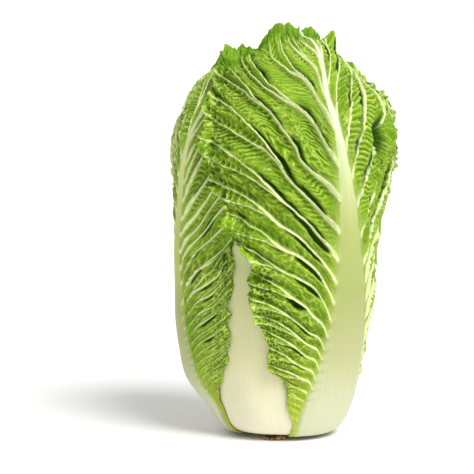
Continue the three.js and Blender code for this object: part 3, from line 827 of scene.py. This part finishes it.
def waxy_leaf(name, green, light, deep, frill, rib_hues, streak_hue="#9aa956"):
    """Fresh cabbage leaf: living skin under a thin coat of wax, on flesh that lets some light in.

    It gives the eye a satin gloss, pale raised veins, a net between them with painted shade in its dimples,
    painted light and shade on its folds, and a juicy, pale rib with fine streaks.
    """
    material, add = new_material(name)
    p, branch, spacing = read(add, "vein")
    q, share, from_edge = read(add, "leaf")
    x, y, fork = read(add, "flat")
    out, shade, net = read(add, "grow")
    web, crinkle, rough = read(add, "web")
    ladder, rib_shade, _ = read(add, "cross")

    flat = add("CombineXYZ", x, y)
    cloudy = add("TexNoise", Vector=flat, Scale=CLOUDS, Detail=3.0)
    grain = add("TexNoise", Vector=flat, Scale=GRAIN, Detail=4.0)
    warp = add("TexNoise", Vector=flat, Scale=WARP, Detail=2.0, out="Color")
    warped = add("VectorMath", warp, WARP_REACH, flat, operation="MULTIPLY_ADD")
    cells_in = add("TexVoronoi", Vector=warped, Scale=SKIN_CELLS, feature="DISTANCE_TO_EDGE", out="Distance")
    fine_net = add("MapRange", cells_in, 0.02, 0.12, 1.0, 0.0, **STEP)

    # The side veins, which fade where they stand close, in the painted shade of the crevices, and at the
    # margin.
    off = add("Math", add("Math", add("Math", p, **FRACT), 0.5, **MINUS), **SIZE)
    to_vein = add("Math", add("Math", add("Math", off, fork, **MINUS), **SIZE), spacing, **TIMES)
    wide = add("MapRange", add("Math", out, 0.5, operation="POWER"), 0.0, 1.0, 2.4, 0.5, **STEP)
    wide = add("Math", wide, add("MapRange", spacing, 2.5, 13.0, 0.35, 1.2, **STEP), **TIMES)
    wide = add("Math", wide, add("MapRange", share, 0.2, 0.5, 0.72, 1.0, **STEP), **TIMES)
    apart = add("MapRange", spacing, 2.6, 4.5, 0.3, 1.0, **STEP)
    glow = add("MapRange", to_vein, 0.4, add("Math", wide, 2.6, **TIMES), 1.0, 0.0, **STEP)
    glow = add("Math", glow, apart, **TIMES)
    glow = add("Math", glow, add("MapRange", out, 0.1, 0.9, 0.4, 0.1, **STEP), **TIMES)
    near_margin = add("MapRange", from_edge, 9.0, 20.0, 1.0, 0.0, **STEP)
    tip = add("Math", add("MapRange", share, 0.84, 0.9, 0.0, 1.0, **STEP), near_margin, **TIMES)
    vein = add("MapRange", to_vein, add("Math", wide, 0.2, **TIMES), wide, 1.0, 0.0, **STEP)
    for fade in (
        add("Math", apart, add("MapRange", share, 0.07, 0.2, 0.0, 1.0, **STEP), **TIMES),
        add("MapRange", shade, 0.5, 1.0, 1.0, 0.08, **STEP),
        add("MapRange", tip, 0.3, 1.0, 1.0, 0.15, **STEP),
        add("MapRange", out, 0.4, 1.0, 1.0, 0.6, **STEP),
    ):
        vein = add("Math", vein, fade, **TIMES)

    # The branches of the side veins, with painted light on the ridges along them and painted shade in the
    # valleys between.
    half_on = add("Math", add("Math", branch, 0.5, **PLUS), **FRACT)
    to_branch = add("Math", add("Math", half_on, 0.5, **MINUS), **SIZE)
    branches = add("MapRange", to_branch, 0.03, 0.12, 1.0, 0.0, **STEP)
    rungs = add("Math", ladder, add("MapRange", share, 0.42, 0.6, 0.0, 1.0, **STEP), **TIMES)
    relief = add("MapRange", rough, 0.1, 0.6, 0.0, 1.0, **STEP)
    ridge_light = add("Math", add("MapRange", to_branch, 0.02, 0.3, 0.5, 0.0, **STEP), rungs, **TIMES)
    ridge_light = add("Math", ridge_light, relief, **TIMES)
    valley_shade = add("Math", add("MapRange", to_branch, 0.3, 0.46, 0.0, 1.0, **STEP), rungs, **TIMES)
    valley_shade = add("Math", valley_shade, add("MapRange", cloudy, 0.35, 0.6, 0.3, 0.75, **STEP), **TIMES)
    valley_shade = add("Math", valley_shade, relief, **TIMES)
    on_ladder = add("MapRange", ladder, 0.0, 1.0, 0.35, 1.0, **STEP)
    strength = add("Math", add("MapRange", share, 0.42, 0.66, 0.4, 0.65, **STEP), on_ladder, **TIMES)
    rung_lines = add("Math", branches, add("MapRange", grain, 0.4, 0.56, 0.0, strength, **STEP), **TIMES)

    # The net between the branches: wide meshes on the blade and small ones along the margin.
    off_ladder = add("MapRange", ladder, 0.2, 1.0, 1.0, 0.3, **STEP)
    net_line = add("Math", add("MapRange", web, 0.03, 0.17, 0.75, 0.0, **STEP), off_ladder, **TIMES)
    net_line = add("Math", net_line, add("MapRange", share, 0.42, 0.6, 1.0, 0.6, **STEP), **TIMES)
    near_edge = add("MapRange", from_edge, 8.0, 26.0, 0.9, 0.12, **STEP)
    edge_net = add("Math", add("MapRange", crinkle, 0.03, 0.22, 1.0, 0.0, **STEP), near_edge, **TIMES)
    net_line = add("Math", net_line, edge_net, operation="MAXIMUM")
    net_line = add("Math", net_line, add("MapRange", rough, 0.15, 0.7, 0.0, 1.0, **STEP), **TIMES)
    # How dark the painted shade in the sunken meshes is.
    sunken = add("MapRange", share, 0.4, 0.7, 0.72, 0.74, **STEP)

    blade = lay_colours(add, linear(green), [
        (add("MapRange", cloudy, 0.35, 0.65, 0.0, 1.0, **STEP), light),
        (add("Math", add("MapRange", grain, 0.4, 0.7, 0.0, 1.0, **STEP), 0.4, **TIMES), deep),
        (add("MapRange", from_edge, 0.5, 9.0, 0.8, 0.0, **STEP), frill),
        (add("MapRange", share, 0.06, 0.3, 0.9, 0.0, **STEP), "#b9c73c"),  # yellow foot of the blade
        (add("Math", fine_net, 0.1, **TIMES), "#b9cf72"),
        # Painted shade in the sunken meshes of the net; their borders are lighter, with a painted highlight
        # along the soft folds.
        (add("MapRange", net, 0.0, 0.5, sunken, 0.0, **STEP), deep),  # sunken meshes
        (add("MapRange", net, 0.5, 1.0, 0.0, 0.45, **STEP), "#aeca48"),  # and their borders
        (glow, "#bccb66"),  # pale flesh beside the side veins
        # painted shade in the valleys and painted light on the ridges between the branches
        (valley_shade, "#386403"),
        (ridge_light, "#aac63c"),
        (net_line, "#c4db70"),
        (rung_lines, "#d6e892"),
        # Painted shade: darker in the crevices, on the soft side of the folds, in the pits behind the margin
        # and in the hollows.
        (add("MapRange", shade, 0.05, 0.9, 0.0, 0.9, **STEP), "#1c4600"),  # crevices
        (add("MapRange", out, 0.0, 0.08, 0.6, 0.0, **STEP), "#a9bb5c"),  # where the blade meets the rib
        (add("Math", tip, 0.7, **TIMES), "#5f9208"),  # smooth dark lobes of the tip
        (vein, "#e2ecac"),
    ])

    # The rib changes its hue from foot to tip, with fine streaks along it.
    along = add("CombineXYZ", add("Math", x, STREAK_ACROSS, **TIMES), add("Math", y, STREAK_ALONG, **TIMES))
    streaks = add("TexNoise", Vector=along, Scale=1.0, Detail=4.0, Roughness=0.6)
    rib = add("ValToRGB", share)
    stops = rib.node.color_ramp.elements
    stops[0].color, stops[-1].color = linear(rib_hues[0]), linear(rib_hues[-1])
    stops[-1].position = RIB_STOPS[-1]
    for position, hue in list(zip(RIB_STOPS, rib_hues))[1:-1]:
        stops.new(position).color = linear(hue)
    streaked = add("MapRange", share, 0.1, 0.3, 0.1, 0.3, **STEP)
    greener = add("MapRange", share, 0.3, 0.45, 0.0, 0.45, **STEP)
    rib = lay_colours(add, rib, [
        (add("MapRange", streaks, 0.35, 0.7, 0.0, streaked, **STEP), streak_hue),
        # Painted shade on the upper rib of a leaf that faces away from the light.
        (add("Math", rib_shade, greener, **TIMES), "#c0cc6a"),
    ])
    on_rib = add("MapRange", q, 0.86, 1.06, 1.0, 0.0, **STEP)

    # Relief that is too small for the mesh.
    height = add("Math", add("Math", branches, 0.6, **TIMES), add("Math", fine_net, 0.4, **TIMES), **PLUS)
    height = add("Math", height, add("Math", grain, 0.6, **TIMES), **PLUS)
    height = add("Math", height, add("Math", 1.0, on_rib, **MINUS), **TIMES)
    rib_height = add("Math", add("Math", streaks, on_rib, **TIMES), 0.12, **TIMES)
    height = add("Math", height, rib_height, **PLUS)
    add("OutputMaterial", add(
        "BsdfPrincipled", Base_Color=lay_colours(add, blade, [(on_rib, rib)]), Roughness=0.42, IOR=1.42,
        Specular_IOR_Level=0.07, Normal=add("Bump", Strength=0.8, Distance=0.9 * MM, Height=height),
        Subsurface_Weight=0.15, Subsurface_Radius=(0.5, 0.9, 0.2), Subsurface_Scale=2 * MM,
    ))
    return material


def blanched_leaf():
    """Leaf tips that grew in the dark of the head: thin, tender and without green.

    They give the eye a soft pale yellow, with a crinkled net that is lighter than the skin between.
    """
    material, add = new_material("blanched_heart_leaf")
    lap, crown, crinkle = read(add, "heart")
    where = add("TexCoord", out="Object")
    cloudy = add("TexNoise", Vector=where, Scale=HEART_CLOUDS, Detail=4.0)
    tips = lay_colours(add, linear("#b7c24a"), [
        (add("MapRange", cloudy, 0.35, 0.65, 0.0, 1.0, **STEP), "#cbd266"),
        (add("MapRange", lap, 0.6, 1.0, 0.0, 1.0, **STEP), "#a5bd2e"),  # greener towards each tip's edge
        (add("MapRange", crinkle, 0.03, 0.25, 0.8, 0.0, **STEP), "#e2e6a6"),
        # Painted shade where each tip slips under the next one.
        (add("MapRange", lap, 0.0, 0.1, 0.7, 0.0, **STEP), "#6b8420"),  # where it slips under the next one
    ])
    add("OutputMaterial", add(
        "BsdfPrincipled", Base_Color=lay_colours(add, linear("#e3e3b4"), [(crown, tips)]), Roughness=0.45,
        Specular_IOR_Level=0.15, Normal=add("Bump", Strength=0.5, Distance=0.6 * MM, Height=cloudy),
        Subsurface_Weight=0.2, Subsurface_Radius=(0.6, 0.9, 0.2), Subsurface_Scale=2 * MM,
    ))
    return material


def knife_cut_stem():
    """Cabbage stem cut with a knife: moist cream flesh that browns where air gets at it.

    It gives the eye a ring of darker sap strands on a dull cream cut, with tan, dried scars and shreds.
    """
    material, add = new_material("cut_cabbage_stem")
    where = add("TexCoord", out="Object")
    x, y, z = add("SeparateXYZ", where).node.outputs[:3]
    squares = add("Math", add("Math", x, x, **TIMES), add("Math", y, y, **TIMES), **PLUS)
    radius = add("Math", squares, operation="SQRT")
    cloudy = add("TexNoise", Vector=where, Scale=STEM_CLOUDS, Detail=5.0)
    strands = add("TexVoronoi", Vector=where, Scale=SAP_STRANDS, out="Distance")
    ring_end = add("MapRange", radius, 0.018, 0.021, 1.0, 0.0, **STEP)
    ring = add("Math", add("MapRange", radius, 0.012, 0.016, 0.0, 1.0, **STEP), ring_end, **TIMES)
    ring = add("Math", ring, add("MapRange", strands, 0.1, 0.3, 0.7, 0.0, **STEP), **TIMES)
    near_cut = add("MapRange", z, 0.002, 0.009, 1.0, 0.25, **STEP)
    rim = add("Math", add("MapRange", radius, 0.0205, 0.0245, 0.0, 1.0, **STEP), near_cut, **TIMES)
    rim = add("Math", rim, add("MapRange", cloudy, 0.38, 0.58, 0.25, 1.0, **STEP), **TIMES)
    tan = add("MapRange", cloudy, 0.42, 0.58, 0.0, 1.0, **STEP)
    colour = lay_colours(add, linear("#ddd6b0"), [
        (add("MapRange", cloudy, 0.35, 0.65, 0.0, 1.0, **STEP), "#cfc592"),
        (ring, "#a9985a"),
        (rim, "#8a5a2c"),
        (
            add("MapRange", radius, 0.0255, 0.0275, 0.0, 1.0, **STEP),
            lay_colours(add, linear("#84552a"), [(tan, "#d8b27c")]),
        ),
    ])
    add("OutputMaterial", add(
        "BsdfPrincipled", Base_Color=colour, Roughness=0.55, Specular_IOR_Level=0.25,
        Normal=add("Bump", Strength=0.6, Distance=0.6 * MM, Height=cloudy),
    ))
    return material


def satin_white_board():
    """White laminated board: it gives the eye an even ground with a soft trace of what stands on it."""
    material, add = new_material("white_floor")
    add("OutputMaterial", add("BsdfPrincipled", Base_Color=linear("#fcfbf9"), Roughness=0.4))
    return material


GREEN_RIB = ("#d1d2bb", "#c7c9ab", "#b1b386", "#9ea566", "#a8b16c", "#c2ca94", "#d9dec0")
PALE_RIB = ("#e4deca", "#dedac0", "#d4d1a8", "#cdce9c", "#c8ce9a", "#ccd2a2", "#d9dec0")
outside_skin = waxy_leaf("cabbage_leaf_outside", "#68900a", "#84aa1a", "#285600", "#84ae10", GREEN_RIB)
inside_skin = waxy_leaf("cabbage_leaf_inside", "#557e10", "#6b931c", "#2c5406", "#80a814", GREEN_RIB)
blanched_skin = waxy_leaf(
    "cabbage_leaf_blanched", "#6c9010", "#86a822", "#2e5402", "#84ae10", PALE_RIB, "#bfc184",
)

# ---- the pieces ----
for number, leaf in enumerate(LEAVES):
    piece = build_leaf(number)
    piece.data.materials.append(outside_skin if number < GREEN_LEAVES else blanched_skin)
    piece.data.materials.append(inside_skin)
    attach(piece, "root")
    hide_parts(leaf["name"])

heart = build_heart()
heart.data.materials.append(blanched_leaf())
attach(heart, "root")
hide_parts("heart")

stem = build_stem()
stem.data.materials.append(knife_cut_stem())
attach(stem, "root")
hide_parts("stem")

# ---- floor, light and camera ----
FLOOR_SIZE = 80  # metres
bpy.ops.object.select_all(action="DESELECT")
bpy.ops.mesh.primitive_plane_add(size=FLOOR_SIZE, location=(0, 0, 0))
floor = bpy.context.object
floor.name = "studio_floor"
floor.data.materials.append(satin_white_board())

# A white room that is brightest at the horizon.
world = bpy.data.worlds.new("studio")
world.use_nodes = True
add_sky = node_adder(world.node_tree)
background = world.node_tree.nodes["Background"]
up_sky = add_sky("SeparateXYZ", add_sky("TexCoord", out="Generated")).node.outputs[2]
glow = add_sky("MapRange", up_sky, 0.03, 0.25, 1.0, 0.6, **STEP)
background.inputs["Color"].default_value = linear("#ffffff")
world.node_tree.links.new(glow, background.inputs["Strength"])
bpy.context.scene.world = world

# One broad soft light, from the front right and above.
softbox = bpy.data.lights.new("softbox", "SUN")
softbox.energy, softbox.angle = 3.4, math.radians(32)
stand = bpy.data.objects.new("softbox", softbox)
bpy.context.collection.objects.link(stand)
stand.rotation_euler = (math.radians(40), 0, math.radians(38))

# The camera looks level at the head's middle from a little above, through a long lens.
IMAGE = 474  # pixels across the picture
AXIS_PIXEL = 281  # where the head's axis and middle fall in it
MIDDLE_PIXEL = 229
MM_PER_PIXEL = 0.732
MIDDLE_HEIGHT = 0.15  # metres, as all that follows
DISTANCE = 1.6
SENSOR = 36  # millimetres
ELEVATION = math.radians(6)
camera_data = bpy.data.cameras.new("camera")
camera = bpy.data.objects.new("camera", camera_data)
bpy.context.collection.objects.link(camera)
aside = (IMAGE / 2 - AXIS_PIXEL) * MM_PER_PIXEL * MM
middle = MIDDLE_HEIGHT - (IMAGE / 2 - MIDDLE_PIXEL) * MM_PER_PIXEL * MM
camera.location = (aside, -DISTANCE * math.cos(ELEVATION), middle + DISTANCE * math.sin(ELEVATION))
camera.rotation_euler = (math.pi / 2 - ELEVATION, 0, 0)
camera_data.sensor_width = SENSOR
camera_data.lens = SENSOR * DISTANCE / (IMAGE * MM_PER_PIXEL * MM)
camera_data.clip_start, camera_data.clip_end = 0.1, 100
bpy.context.scene.camera = camera
bpy.context.scene.view_settings.view_transform = "Standard"
